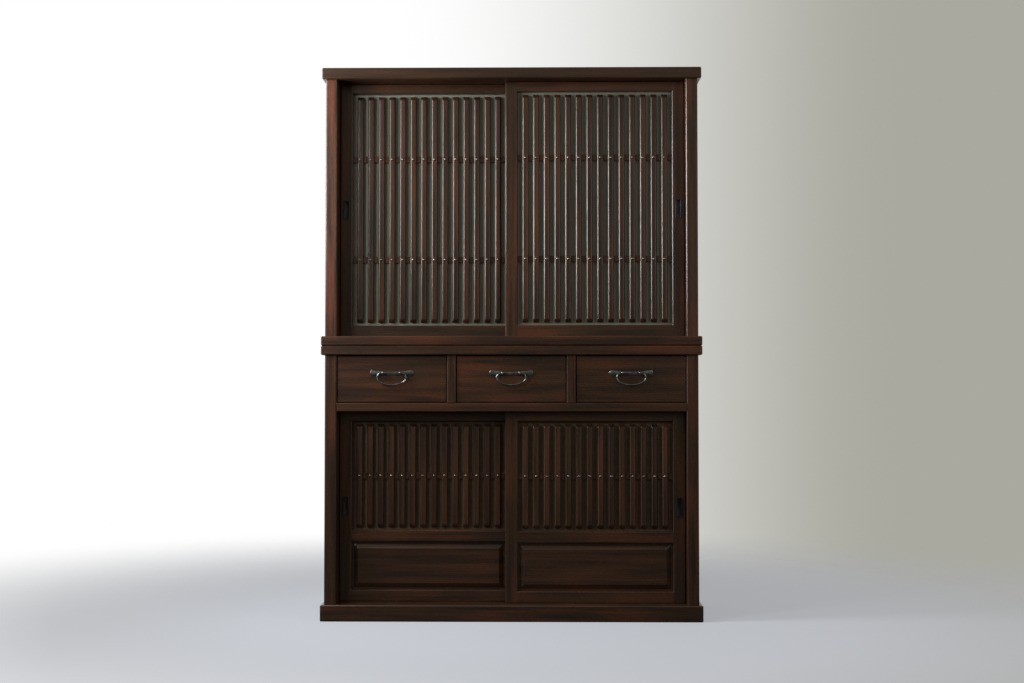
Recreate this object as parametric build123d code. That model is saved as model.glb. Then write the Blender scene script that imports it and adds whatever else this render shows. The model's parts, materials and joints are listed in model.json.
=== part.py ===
from build123d import *

import os
from math import asin, degrees

# A two-stage mizuya kitchen cabinet: an upper chest with two lattice sliding doors stands on a lower
# chest with three drawers over two lattice sliding doors.
# Millimetres, +Z up, front towards -Y, origin under the middle of the plinth.

os.makedirs("parts", exist_ok=True)

# Carcass
CABINET_WIDTH = 1210.0
CABINET_DEPTH = 450.0
BOARD_OVERHANG = 11.5
PLINTH_HEIGHT = 52.0
PLINTH_THICKNESS = 22.0
FLOOR_THICKNESS = 24.0
LOWER_OPENING_HEIGHT = 610.0
DRAWER_RAIL_HEIGHT = 28.0
DRAWER_OPENING_HEIGHT = 152.0
MID_BOARD_THICKNESS = 30.0
UPPER_OPENING_HEIGHT = 822.0
TOP_BOARD_THICKNESS = 36.0
POST_WIDTH = 37.5
FRONT_POST_DEPTH = 60.0
BACK_POST_DEPTH = 37.5
EDGE_CHAMFER = 3.0

# Side and back framing
SIDE_PANEL_THICKNESS = 9.0
SIDE_PANEL_INSET = 6.0
BACK_PANEL_THICKNESS = 6.0
BACK_PANEL_INSET = 14.0
FRAME_RAIL_HEIGHT = 44.0
BACK_RAIL_THICKNESS = 22.0
GROOVE_DEPTH = 6.0
TENON_LENGTH = 15.0
TENON_THICKNESS = 12.0
TENON_SHOULDER = 6.0

# Shelves
SHELF_THICKNESS = 18.0
SHELF_SETBACK = 3.0
UPPER_SHELF_COUNT = 2
LOWER_SHELF_HEIGHT = 305.0
BATTEN_SECTION = 18.0
BATTEN_SETBACK = 12.0

# Sliding doors
DOOR_RECESS = 42.0
DOOR_THICKNESS = 30.0
TRACK_GAP = 4.0
DOOR_END_CLEARANCE = 0.5
DOOR_HEIGHT_CLEARANCE = 1.5
DOOR_CHAMFER = 2.5
STILE_WIDTH = 40.0
TOP_RAIL_HEIGHT = 30.5
BOTTOM_RAIL_HEIGHT = 36.0
MID_RAIL_HEIGHT = 37.5
DOOR_TENON_LENGTH = 28.0
PANEL_OPENING_HEIGHT = 153.0
TONGUE_SETBACK = 8.0
TONGUE_THICKNESS = 14.0
TRACK_CLEARANCE = 0.8
FLOOR_TRACK_DEPTH = 4.0
HEAD_TRACK_DEPTH = 12.0
HEAD_TRACK_PLAY = 3.0
RIDE_CLEARANCE = 0.3

# Lattice
SLAT_COUNT = 14
SLAT_WIDTH = 20.0
SLAT_THICKNESS = 10.0
SLAT_CHAMFER = 3.5
SLAT_SETBACK = 1.5
SLAT_END_GAP = 8.5
SLAT_HIP_LENGTH = 11.0
SLAT_HIP_DEPTH = 7.5
CROSSBAR_HEIGHT = 20.0
CROSSBAR_THICKNESS = 8.0
CROSSBAR_LAP = 3.0
CROSSBAR_TENON = 10.0
UPPER_CROSSBAR_INSET = 213.0
PANE_THICKNESS = 3.0

# Raised panel
PANEL_SETBACK = 12.5
PANEL_EDGE_THICKNESS = 7.0
FIELD_RISE = 8.0
FIELD_MARGIN = 6.0
FIELD_BEVEL = 15.0

# Finger pull
PULL_WIDTH = 20.0
PULL_HEIGHT = 63.0
PULL_LIP = 3.0
PULL_LIP_THICKNESS = 1.5
PULL_DEPTH = 9.0
PULL_WALL = 1.2
PULL_CORNER = 2.0

# Drawers
DRAWER_COUNT = 3
DIVIDER_WIDTH = 29.5
DIVIDER_DEPTH = 38.0
PARTITION_THICKNESS = 12.0
PARTITION_HOUSING = 4.0
GUIDE_HEIGHT = 20.0
DECK_THICKNESS = 12.0
DRAWER_RECESS = 6.0
DRAWER_CLEARANCE = 1.0
DRAWER_END_CLEARANCE = 12.5
DRAWER_FRONT_THICKNESS = 20.0
DRAWER_CHAMFER = 2.5
DRAWER_HEADROOM = 19.7
DRAWER_SIDE_THICKNESS = 12.0
DRAWER_BACK_HOUSING = 4.0
DRAWER_BOTTOM_THICKNESS = 5.0
DRAWER_BOTTOM_RAISE = 8.0
DOVETAIL_COUNT = 3
DOVETAIL_WIDTH = 22.0
DOVETAIL_LENGTH = 14.0
DOVETAIL_FLARE = 3.0

# Handles
HANDLE_RAISE = 19.0
PLATE_LENGTH = 139.0
PLATE_END_HEIGHT = 20.0
PLATE_END_BULGE = 4.5
PLATE_TOP_HOLLOW = 6.0
PLATE_BOTTOM_HOLLOW = 3.7
PLATE_THICKNESS = 3.0
PLATE_CHAMFER = 1.2
PIVOT_SPACING = 54.6
PIVOT_STANDOFF = 7.5
EYE_RADIUS = 5.0
DOME_CHAMFER = 2.0
SHANK_SIDE = 3.6
SHANK_END = 3.0
FORGED_FACES = 8
BAIL_HALF_WIDTH = 46.0
BAIL_DROP = 38.0
BAIL_SHOULDER_RADIUS = 15.0
BAIL_ROD_RADIUS = 2.5
BAIL_STUB = 3.0
EYE_CLEARANCE = 0.35

# Largest distance at which an edge still counts as lying in a plane
SAME_PLANE = 0.01

# Depths, from front to back
front_y = -CABINET_DEPTH / 2
back_y = CABINET_DEPTH / 2
body_front = front_y + BOARD_OVERHANG
post_back = body_front + FRONT_POST_DEPTH
front_track = body_front + DOOR_RECESS
rear_track = front_track + DOOR_THICKNESS + TRACK_GAP
inner_front = rear_track + DOOR_THICKNESS + TRACK_GAP
shelf_front = inner_front + SHELF_SETBACK
back_post_front = back_y - BACK_POST_DEPTH
back_panel_back = back_y - BACK_PANEL_INSET
back_panel_front = back_panel_back - BACK_PANEL_THICKNESS

# Widths, from the middle outwards
half_width = CABINET_WIDTH / 2
post_outer = half_width - BOARD_OVERHANG
post_inner = post_outer - POST_WIDTH
panel_outer = post_outer - SIDE_PANEL_INSET
panel_inner = panel_outer - SIDE_PANEL_THICKNESS
door_width = post_inner + STILE_WIDTH / 2 - DOOR_END_CLEARANCE
drawer_opening = (2 * post_inner - (DRAWER_COUNT - 1) * DIVIDER_WIDTH) / DRAWER_COUNT
drawer_pitch = drawer_opening + DIVIDER_WIDTH

# Heights, from the floor up
floor_top = PLINTH_HEIGHT
lower_head = floor_top + LOWER_OPENING_HEIGHT
drawer_floor = lower_head + DRAWER_RAIL_HEIGHT
drawer_head = drawer_floor + DRAWER_OPENING_HEIGHT
lower_top = drawer_head + MID_BOARD_THICKNESS
upper_floor = lower_top + MID_BOARD_THICKNESS
upper_head = upper_floor + UPPER_OPENING_HEIGHT
cabinet_top = upper_head + TOP_BOARD_THICKNESS

nodes = {}


def block(x_range, y_range, z_range):
    """A square-edged piece that fills three ranges."""
    ranges = (x_range, y_range, z_range)
    size = [end - start for start, end in ranges]
    return Pos(*[start for start, end in ranges]) * Box(*size, align=(Align.MIN, Align.MIN, Align.MIN))


def both_sides(x_range, y_range, z_range):
    """The same piece on the left and on the right of the cabinet."""
    left = (-x_range[1], -x_range[0])
    return [block(left, y_range, z_range), block(x_range, y_range, z_range)]


def cut(pieces, *seated):
    """The pieces with the housings of everything that seats in them."""
    housed = []
    for piece in pieces:
        for other in seated:
            piece = piece - other
        housed.append(piece)
    return housed


def around(middle, size):
    """The range of a given size about a middle."""
    return (middle - size / 2, middle + size / 2)


def grown(span, amount):
    return (span[0] - amount, span[1] + amount)


def front_plane(x, y, z):
    """A sketch plane that faces the front, with its own Y upwards."""
    return Plane(origin=(x, y, z), x_dir=(1, 0, 0), z_dir=(0, -1, 0))


def front_edges(piece, axis):
    """The edges of a piece's front face that run along an axis."""
    front = piece.bounding_box().min.Y
    return [edge for edge in piece.edges().filter_by(axis) if abs(edge.center().Y - front) < SAME_PLANE]


def splayed_block(x_range, z_range, y, large_y, growth):
    """A block that has its given size at y, and spreads on all four sides towards large_y."""
    middle = (sum(x_range) / 2, sum(z_range) / 2)
    size = (x_range[1] - x_range[0], z_range[1] - z_range[0])
    small = front_plane(middle[0], y, middle[1]) * Rectangle(*size)
    large = front_plane(middle[0], large_y, middle[1]) * Rectangle(*[side + 2 * growth for side in size])
    return loft([small, large])


# ---------------------------------------------------------------- carcass


def wide_board(z_range):
    """A board over the whole plan of the cabinet, with all its arrises taken off."""
    board = block((-half_width, half_width), (front_y, back_y), z_range)
    return chamfer(board.edges(), EDGE_CHAMFER)


def track_grooves(z_range):
    """The two grooves that the tongues of the doors slide in."""
    grooves = []
    for track in (front_track, rear_track):
        tongue = (track + TONGUE_SETBACK, track + TONGUE_SETBACK + TONGUE_THICKNESS)
        grooves.append(block((-post_inner, post_inner), grown(tongue, TRACK_CLEARANCE), z_range))
    return grooves


def corner_posts(y_range, z_range, eased):
    """Two posts with a stub tenon at each end, and their front arrises taken off if eased."""
    posts = both_sides((post_inner, post_outer), y_range, z_range)
    if eased:
        posts = [chamfer(front_edges(post, Axis.Z), EDGE_CHAMFER) for post in posts]
    tenons = both_sides(
        grown((post_inner, post_outer), -TENON_SHOULDER),
        around(sum(y_range) / 2, TENON_THICKNESS),
        grown(z_range, TENON_LENGTH),
    )
    return [post + tenon for post, tenon in zip(posts, tenons)]


def side_frames(z_range, rail_z):
    """The posts, rails and panels that stand between two boards, left and right."""
    front_posts = corner_posts((body_front, post_back), z_range, eased=True)
    back_posts = corner_posts((back_post_front, back_y), z_range, eased=False)
    rail_range = around(rail_z, FRAME_RAIL_HEIGHT)
    panels = []
    for panel_range in ((z_range[0], rail_range[0]), (rail_range[1], z_range[1])):
        panels += both_sides(
            (panel_inner, panel_outer),
            grown((post_back, back_post_front), GROOVE_DEPTH),
            grown(panel_range, GROOVE_DEPTH),
        )
    rails = both_sides((panel_inner, post_outer), (post_back, back_post_front), rail_range)
    tongues = both_sides(
        (panel_inner, panel_outer),
        grown((post_back, back_post_front), TENON_LENGTH),
        grown(rail_range, -TENON_SHOULDER),
    )
    rails = cut([rail + tongue for rail, tongue in zip(rails, tongues)], *panels)
    front_posts = cut(front_posts, *panels, *rails)
    back_posts = cut(back_posts, *panels, *rails)
    return front_posts, back_posts, rails, panels


def back_panel(z_range):
    x_range = grown((-post_inner, post_inner), GROOVE_DEPTH)
    return block(x_range, (back_panel_front, back_panel_back), grown(z_range, GROOVE_DEPTH))


def back_rail(z):
    """The rail across the back, flush with the back posts and tenoned into them."""
    x_range = (-post_inner, post_inner)
    z_range = around(z, FRAME_RAIL_HEIGHT)
    y_range = (back_y - BACK_RAIL_THICKNESS, back_y)
    rail = block(x_range, y_range, z_range)
    tenon_range = around(sum(y_range) / 2, TENON_THICKNESS)
    return rail + block(grown(x_range, TENON_LENGTH), tenon_range, grown(z_range, -TENON_SHOULDER))


def shelf(top_z):
    """A shelf behind the doors, as wide as the room between the side panels."""
    x_range = (-panel_inner, panel_inner)
    return block(x_range, (shelf_front, back_panel_front), (top_z - SHELF_THICKNESS, top_z))


def shelf_battens(top_z):
    """The two battens under the ends of a shelf."""
    underside = top_z - SHELF_THICKNESS
    return both_sides(
        (panel_inner - BATTEN_SECTION, panel_inner),
        (shelf_front + BATTEN_SETBACK, back_post_front),
        (underside - BATTEN_SECTION, underside),
    )


def door_jambs(z_range):
    """The strips behind the front posts that the doors close against."""
    return both_sides((post_inner, panel_inner), (post_back, inner_front), z_range)


def plinth(floor_board):
    """A mitred frame of four boards, rebated for the floor board."""
    outer_x = (-half_width, half_width)
    outer_y = (front_y, back_y)
    frame = block(outer_x, outer_y, (0, PLINTH_HEIGHT))
    frame = chamfer(frame.edges(), EDGE_CHAMFER)
    frame -= block(grown(outer_x, -PLINTH_THICKNESS), grown(outer_y, -PLINTH_THICKNESS), (0, PLINTH_HEIGHT))
    frame -= floor_board
    outer = list(zip(outer_x + outer_x[::-1], (front_y, front_y, back_y, back_y)))
    inset = [(x - PLINTH_THICKNESS * (1 if x > 0 else -1), y - PLINTH_THICKNESS * (1 if y > 0 else -1))
             for x, y in outer]
    boards = []
    for index, corner in enumerate(outer):
        after = (index + 1) % len(outer)
        footprint = Polygon(corner, outer[after], inset[after], inset[index], align=None)
        boards.append(frame & extrude(footprint, amount=PLINTH_HEIGHT))
    return boards


def build_lower_chest():
    body_x = (-post_outer, post_outer)
    floor_y = (body_front, back_y - BOARD_OVERHANG)
    floor_board = block(body_x, floor_y, (floor_top - FLOOR_THICKNESS, floor_top))
    deck_z = (drawer_floor - DECK_THICKNESS, drawer_floor)
    front_posts, back_posts, side_rails, side_panels = side_frames((floor_top, drawer_head), sum(deck_z) / 2)
    panel = back_panel((floor_top, drawer_head))

    deck_x = grown((-panel_inner, panel_inner), GROOVE_DEPTH)
    deck = block(deck_x, (inner_front - GROOVE_DEPTH, back_panel_front), deck_z)
    deck = cut([deck], *front_posts, *back_posts)[0]

    rail_z = (lower_head, drawer_floor)
    rail = block((-post_inner, post_inner), (body_front, inner_front), rail_z)
    rail = chamfer(front_edges(rail, Axis.X), DOOR_CHAMFER)
    rail += block((-panel_inner, panel_inner), (post_back, inner_front), rail_z)
    rail_tenon_y = around(body_front + FRONT_POST_DEPTH / 2, TENON_THICKNESS)
    rail_tenon_x = grown((-post_inner, post_inner), TENON_LENGTH)
    rail += block(rail_tenon_x, rail_tenon_y, grown(rail_z, -TENON_SHOULDER))
    rail = cut([rail], deck, *track_grooves((lower_head, lower_head + HEAD_TRACK_DEPTH)))[0]

    dividers, partitions, guides = drawer_dividing((drawer_floor, drawer_head))
    rail, deck = cut([rail, deck], *dividers, *partitions)
    lower_top_board = cut([wide_board((drawer_head, lower_top))], *front_posts, *back_posts,
                          *side_panels, panel, *dividers, *partitions)

    grooves = track_grooves((floor_top - FLOOR_TRACK_DEPTH, floor_top))
    nodes["plinth"] = cut(plinth(floor_board), *back_posts, panel)
    nodes["lower_floor_board"] = cut([floor_board], *front_posts, *back_posts, *side_panels, panel, *grooves)
    nodes["lower_front_posts"] = cut(front_posts, rail)
    nodes["lower_back_posts"] = cut(back_posts, panel)
    nodes["lower_side_rails"] = cut(side_rails, deck)
    nodes["lower_side_panels"] = cut(side_panels, deck)
    nodes["lower_back_panel"] = [panel]
    nodes["lower_door_jambs"] = door_jambs((floor_top, lower_head))
    shelf_top = floor_top + LOWER_SHELF_HEIGHT
    nodes["lower_shelf"] = cut([shelf(shelf_top)], *back_posts)
    nodes["shelf_battens"] = shelf_battens(shelf_top)
    nodes["drawer_rail"] = [rail]
    nodes["drawer_deck"] = [deck]
    nodes["drawer_dividers"] = dividers
    nodes["drawer_partitions"] = partitions
    nodes["drawer_guides"] = guides
    nodes["lower_top_board"] = lower_top_board


def drawer_dividing(z_range):
    """The uprights between the drawers, the partitions behind them and the guides on the deck."""
    divider_y = (body_front, body_front + DIVIDER_DEPTH)
    run = (divider_y[1], back_panel_front)
    dividers = []
    partitions = []
    guide_z = (z_range[0], z_range[0] + GUIDE_HEIGHT)
    guides = both_sides((post_inner, panel_inner), (inner_front, back_post_front), guide_z)
    for index in range(DRAWER_COUNT - 1):
        middle = (index - (DRAWER_COUNT - 2) / 2) * drawer_pitch
        divider = block(around(middle, DIVIDER_WIDTH), divider_y, z_range)
        divider = chamfer(front_edges(divider, Axis.Z), EDGE_CHAMFER)
        tenon_x = around(middle, TENON_THICKNESS)
        divider += block(tenon_x, grown(divider_y, -TENON_SHOULDER), grown(z_range, TENON_THICKNESS))
        dividers.append(divider)
        partition_x = around(middle, PARTITION_THICKNESS)
        partitions.append(block(partition_x, run, grown(z_range, PARTITION_HOUSING)))
        divider_x = around(middle, DIVIDER_WIDTH)
        guides.append(block((divider_x[0], partition_x[0]), run, guide_z))
        guides.append(block((partition_x[1], divider_x[1]), run, guide_z))
    return dividers, partitions, guides


def build_upper_chest():
    z_range = (upper_floor, upper_head)
    middle = sum(z_range) / 2
    front_posts, back_posts, side_rails, side_panels = side_frames(z_range, middle)
    rail = back_rail(middle)
    rail_range = around(middle, FRAME_RAIL_HEIGHT)
    panels = [back_panel((upper_floor, rail_range[0])), back_panel((rail_range[1], upper_head))]
    rail = cut([rail], *panels)[0]
    back_posts = cut(back_posts, rail, *panels)
    seated = front_posts + back_posts + side_panels + panels
    floor_grooves = track_grooves((upper_floor - FLOOR_TRACK_DEPTH, upper_floor))
    head_grooves = track_grooves((upper_head, upper_head + HEAD_TRACK_DEPTH))
    shelf_pitch = UPPER_OPENING_HEIGHT / (UPPER_SHELF_COUNT + 1)
    shelf_tops = [upper_floor + (index + 1) * shelf_pitch for index in range(UPPER_SHELF_COUNT)]

    nodes["upper_bottom_board"] = cut([wide_board((lower_top, upper_floor))], *seated, *floor_grooves)
    nodes["upper_front_posts"] = front_posts
    nodes["upper_back_posts"] = back_posts
    nodes["upper_side_rails"] = side_rails
    nodes["upper_side_panels"] = side_panels
    nodes["upper_back_rail"] = [rail]
    nodes["upper_back_panels"] = panels
    nodes["upper_door_jambs"] = door_jambs(z_range)
    nodes["upper_shelves"] = cut([shelf(top) for top in shelf_tops], *back_posts)
    for top in shelf_tops:
        nodes["shelf_battens"] += shelf_battens(top)
    nodes["upper_top_board"] = cut([wide_board((upper_head, cabinet_top))], *seated, *head_grooves)


# ---------------------------------------------------------------- sliding doors


def lattice_slat(front, z_range, crossbar_heights):
    """A slat with chamfered front arrises, hipped ends, and a lap at the back for each crossbar."""
    half = SLAT_WIDTH / 2
    back = front + SLAT_THICKNESS
    section = Polygon(
        (-half, back),
        (-half, front + SLAT_CHAMFER),
        (-half + SLAT_CHAMFER, front),
        (half - SLAT_CHAMFER, front),
        (half, front + SLAT_CHAMFER),
        (half, back),
        align=None,
    )
    slat = Pos(0, 0, z_range[0]) * extrude(section, amount=z_range[1] - z_range[0])
    for end, inwards in ((z_range[0], 1), (z_range[1], -1)):
        hip = Polygon(
            (front, end),
            (front, end + inwards * SLAT_HIP_LENGTH),
            (front + SLAT_HIP_DEPTH, end),
            align=None,
        )
        slat -= extrude(Plane.YZ * hip, amount=SLAT_WIDTH, both=True)
    for height in crossbar_heights:
        slat -= block((-half, half), (back - CROSSBAR_LAP, back), around(height, CROSSBAR_HEIGHT))
    return slat


def finger_pull(x, front, z):
    """A recessed cup with a thin lip that lies on the stile, and the pocket it needs."""
    lip_plane = front_plane(x, front, z)
    cup_size = (PULL_WIDTH - 2 * PULL_LIP, PULL_HEIGHT - 2 * PULL_LIP)
    room_size = [side - 2 * PULL_WALL for side in cup_size]
    lip_outline = RectangleRounded(PULL_WIDTH, PULL_HEIGHT, PULL_CORNER)
    lip = extrude(lip_plane * lip_outline, amount=PULL_LIP_THICKNESS)
    pocket = extrude(lip_plane * RectangleRounded(*cup_size, PULL_CORNER), amount=-PULL_DEPTH)
    mouth = front_plane(x, front - PULL_LIP_THICKNESS, z) * Rectangle(*room_size)
    room_depth = PULL_DEPTH + PULL_LIP_THICKNESS - PULL_WALL
    pull = lip + pocket - extrude(mouth, amount=-room_depth)
    return pull, pocket


def sliding_door(name, left_x, front, opening, pull_side, crossbar_heights, has_panel):
    """A framed lattice door with its pane, finger pull and, low down, a raised panel."""
    x_range = (left_x, left_x + door_width)
    inner_x = grown(x_range, -STILE_WIDTH)
    y_range = (front, front + DOOR_THICKNESS)
    z_range = grown(opening, -DOOR_HEIGHT_CLEARANCE)
    tongue_y = (front + TONGUE_SETBACK, front + TONGUE_SETBACK + TONGUE_THICKNESS)
    tongue_low = opening[0] - FLOOR_TRACK_DEPTH + RIDE_CLEARANCE
    tongue_z = (tongue_low, opening[1] + HEAD_TRACK_DEPTH - HEAD_TRACK_PLAY)
    bottom_rail = (z_range[0], z_range[0] + BOTTOM_RAIL_HEIGHT)
    top_rail = (z_range[1] - TOP_RAIL_HEIGHT, z_range[1])
    rail_ranges = [bottom_rail, top_rail]
    lattice_low = bottom_rail[1]
    fillings = []
    openings = []
    if has_panel:
        panel_z = (lattice_low, lattice_low + PANEL_OPENING_HEIGHT)
        lattice_low = panel_z[1] + MID_RAIL_HEIGHT
        rail_ranges.insert(1, (panel_z[1], lattice_low))
        panel = raised_panel(inner_x, front + PANEL_SETBACK, panel_z)
        nodes[name + "_raised_panel"] = [panel]
        fillings.append(panel)
        openings.append(panel_z)
    lattice_z = (lattice_low, top_rail[0])
    openings.append(lattice_z)

    slat_front = front + SLAT_SETBACK
    crossbar_y = slat_front + SLAT_THICKNESS - CROSSBAR_LAP
    pane_y = crossbar_y + CROSSBAR_THICKNESS
    if not crossbar_heights:
        crossbar_heights = [sum(lattice_z) / 2]
    crossbars = [
        block(grown(inner_x, CROSSBAR_TENON), (crossbar_y, pane_y), around(height, CROSSBAR_HEIGHT))
        for height in crossbar_heights
    ]
    pane_x = grown(inner_x, GROOVE_DEPTH)
    pane = block(pane_x, (pane_y, pane_y + PANE_THICKNESS), grown(lattice_z, GROOVE_DEPTH))
    fillings.append(pane)

    slat = lattice_slat(slat_front, grown(lattice_z, -SLAT_END_GAP), crossbar_heights)
    gap = (inner_x[1] - inner_x[0] - SLAT_COUNT * SLAT_WIDTH) / (SLAT_COUNT + 1)
    first = inner_x[0] + gap + SLAT_WIDTH / 2
    slats = [Pos(first + index * (gap + SLAT_WIDTH), 0, 0) * slat for index in range(SLAT_COUNT)]

    bevels = [
        splayed_block(inner_x, span, front + DOOR_CHAMFER, front, DOOR_CHAMFER) for span in openings
    ]
    stile_x = {"left": (x_range[0], inner_x[0]), "right": (inner_x[1], x_range[1])}
    pull_x = sum(stile_x[pull_side]) / 2
    pull, pocket = finger_pull(pull_x, front, sum(z_range) / 2)

    rails = []
    for span in rail_ranges:
        rail = block(inner_x, y_range, span)
        tenon_z = grown(span, -TENON_SHOULDER)
        tenon_y = around(sum(y_range) / 2, TENON_THICKNESS)
        rail += block(grown(inner_x, DOOR_TENON_LENGTH), tenon_y, tenon_z)
        rails.append(rail)
    rails[0] += block(inner_x, tongue_y, (tongue_z[0], z_range[0]))
    rails[-1] += block(inner_x, tongue_y, (z_range[1], tongue_z[1]))
    rails = cut(rails, *fillings, *bevels)

    stiles = []
    for side, span in stile_x.items():
        stile = block(span, y_range, z_range)
        edges = front_edges(stile, Axis.Z)
        outer_edge = min(edges, key=lambda edge: edge.center().X * (1 if side == "left" else -1))
        stile = chamfer(outer_edge, DOOR_CHAMFER)
        stile += block(span, tongue_y, tongue_z)
        stiles.append(stile)
    stiles = cut(stiles, *rails, *crossbars, *fillings, *bevels, pocket)

    nodes[name + "_frame"] = stiles + rails
    nodes[name + "_slats"] = slats
    nodes[name + "_crossbars"] = crossbars
    nodes[name + "_pane"] = [pane]
    nodes[name + "_finger_pull"] = [pull]


def raised_panel(inner_x, front, opening_z):
    """A panel in the grooves of its frame, with a flat margin, a bevel and a raised field."""
    edge = block(
        grown(inner_x, GROOVE_DEPTH),
        (front, front + PANEL_EDGE_THICKNESS),
        grown(opening_z, GROOVE_DEPTH),
    )
    inset = -(FIELD_MARGIN + FIELD_BEVEL)
    field_x = grown(inner_x, inset)
    field_z = grown(opening_z, inset)
    return edge + splayed_block(field_x, field_z, front - FIELD_RISE, front, FIELD_BEVEL)


def build_doors():
    left_x = -post_inner + DOOR_END_CLEARANCE
    right_x = post_inner - DOOR_END_CLEARANCE - door_width
    upper_opening = (upper_floor, upper_head)
    lower_opening = (floor_top, lower_head)
    lattice_low = upper_floor + DOOR_HEIGHT_CLEARANCE + BOTTOM_RAIL_HEIGHT
    lattice_high = upper_head - DOOR_HEIGHT_CLEARANCE - TOP_RAIL_HEIGHT
    upper_bars = [lattice_low + UPPER_CROSSBAR_INSET, lattice_high - UPPER_CROSSBAR_INSET]
    sliding_door("upper_left_door", left_x, rear_track, upper_opening, "left", upper_bars, False)
    sliding_door("upper_right_door", right_x, front_track, upper_opening, "right", upper_bars, False)
    sliding_door("lower_left_door", left_x, rear_track, lower_opening, "left", None, True)
    sliding_door("lower_right_door", right_x, front_track, lower_opening, "right", None, True)


# ---------------------------------------------------------------- drawers


def dovetails(side, shoulder_y, z_range):
    """The tails at the front end of a drawer side."""
    pitch = (z_range[1] - z_range[0]) / DOVETAIL_COUNT
    half = DOVETAIL_WIDTH / 2
    end_y = shoulder_y - DOVETAIL_LENGTH
    tails = []
    for index in range(DOVETAIL_COUNT):
        middle = z_range[0] + (index + 0.5) * pitch
        outline = Polygon(
            (end_y, middle - half - DOVETAIL_FLARE),
            (shoulder_y, middle - half),
            (shoulder_y, middle + half),
            (end_y, middle + half + DOVETAIL_FLARE),
            align=None,
        )
        tails.append(Pos(side[0], 0, 0) * extrude(Plane.YZ * outline, amount=side[1] - side[0]))
    return tails


def handle_plate(x, front, z):
    """A bow-shaped plate, hollow above and below, with its front arris taken off."""
    end = PLATE_LENGTH / 2 - PLATE_END_BULGE
    high = PLATE_END_HEIGHT / 2
    outline = Curve() + [
        ThreePointArc((-end, high), (0, high - PLATE_TOP_HOLLOW), (end, high)),
        ThreePointArc((end, high), (PLATE_LENGTH / 2, 0), (end, -high)),
        ThreePointArc((end, -high), (0, -high + PLATE_BOTTOM_HOLLOW), (-end, -high)),
        ThreePointArc((-end, -high), (-PLATE_LENGTH / 2, 0), (-end, high)),
    ]
    plate = extrude(front_plane(x, front, z) * make_face(outline), amount=PLATE_THICKNESS)
    rim = [edge for edge in plate.edges() if abs(edge.center().Y - (front - PLATE_THICKNESS)) < SAME_PLANE]
    return chamfer(rim, PLATE_CHAMFER)


def eye_pin(x, front, z):
    """A forged pin: a domed head with the bail's eye, and a square shank through plate and drawer front."""
    base = front_plane(x, front - PLATE_THICKNESS, z)
    head = extrude(base * RegularPolygon(EYE_RADIUS, FORGED_FACES), amount=PIVOT_STANDOFF + EYE_RADIUS)
    head = chamfer(head.edges().group_by(Axis.Y)[0], DOME_CHAMFER)
    eye = Cylinder(BAIL_ROD_RADIUS + EYE_CLEARANCE, 4 * EYE_RADIUS)
    head -= Pos(x, front - PLATE_THICKNESS - PIVOT_STANDOFF, z) * Rot(0, 90, 0) * eye
    shank_length = PLATE_THICKNESS + DRAWER_FRONT_THICKNESS + SHANK_END
    return head + extrude(base * Rectangle(SHANK_SIDE, SHANK_SIDE), amount=-shank_length)


def bail(x, pivot_y, z):
    """A hanging bail, forged from eye to eye: a faceted rod with two tight shoulders and one wide bow."""
    width = BAIL_HALF_WIDTH - BAIL_SHOULDER_RADIUS
    drop = BAIL_DROP - BAIL_SHOULDER_RADIUS
    bow_radius = (width**2 + drop**2 - BAIL_SHOULDER_RADIUS**2) / (2 * (drop - BAIL_SHOULDER_RADIUS))
    bow_half_angle = degrees(asin(width / (bow_radius - BAIL_SHOULDER_RADIUS)))
    stub_end = PIVOT_SPACING / 2 - EYE_RADIUS - BAIL_STUB
    stub = Line((-stub_end, 0), (-width, 0))
    shoulder = JernArc(stub @ 1, stub % 1, BAIL_SHOULDER_RADIUS, 180 - bow_half_angle)
    bow = JernArc(shoulder @ 1, shoulder % 1, bow_radius, 2 * bow_half_angle)
    far_shoulder = JernArc(bow @ 1, bow % 1, BAIL_SHOULDER_RADIUS, 180 - bow_half_angle)
    far_stub = Line(far_shoulder @ 1, (stub_end, 0))
    path = Curve() + [stub, shoulder, bow, far_shoulder, far_stub]
    section = Plane(origin=stub @ 0, z_dir=stub % 0) * RegularPolygon(BAIL_ROD_RADIUS, FORGED_FACES)
    return Pos(x, pivot_y, z) * Rot(90, 0, 0) * sweep(section, path=path)


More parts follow.
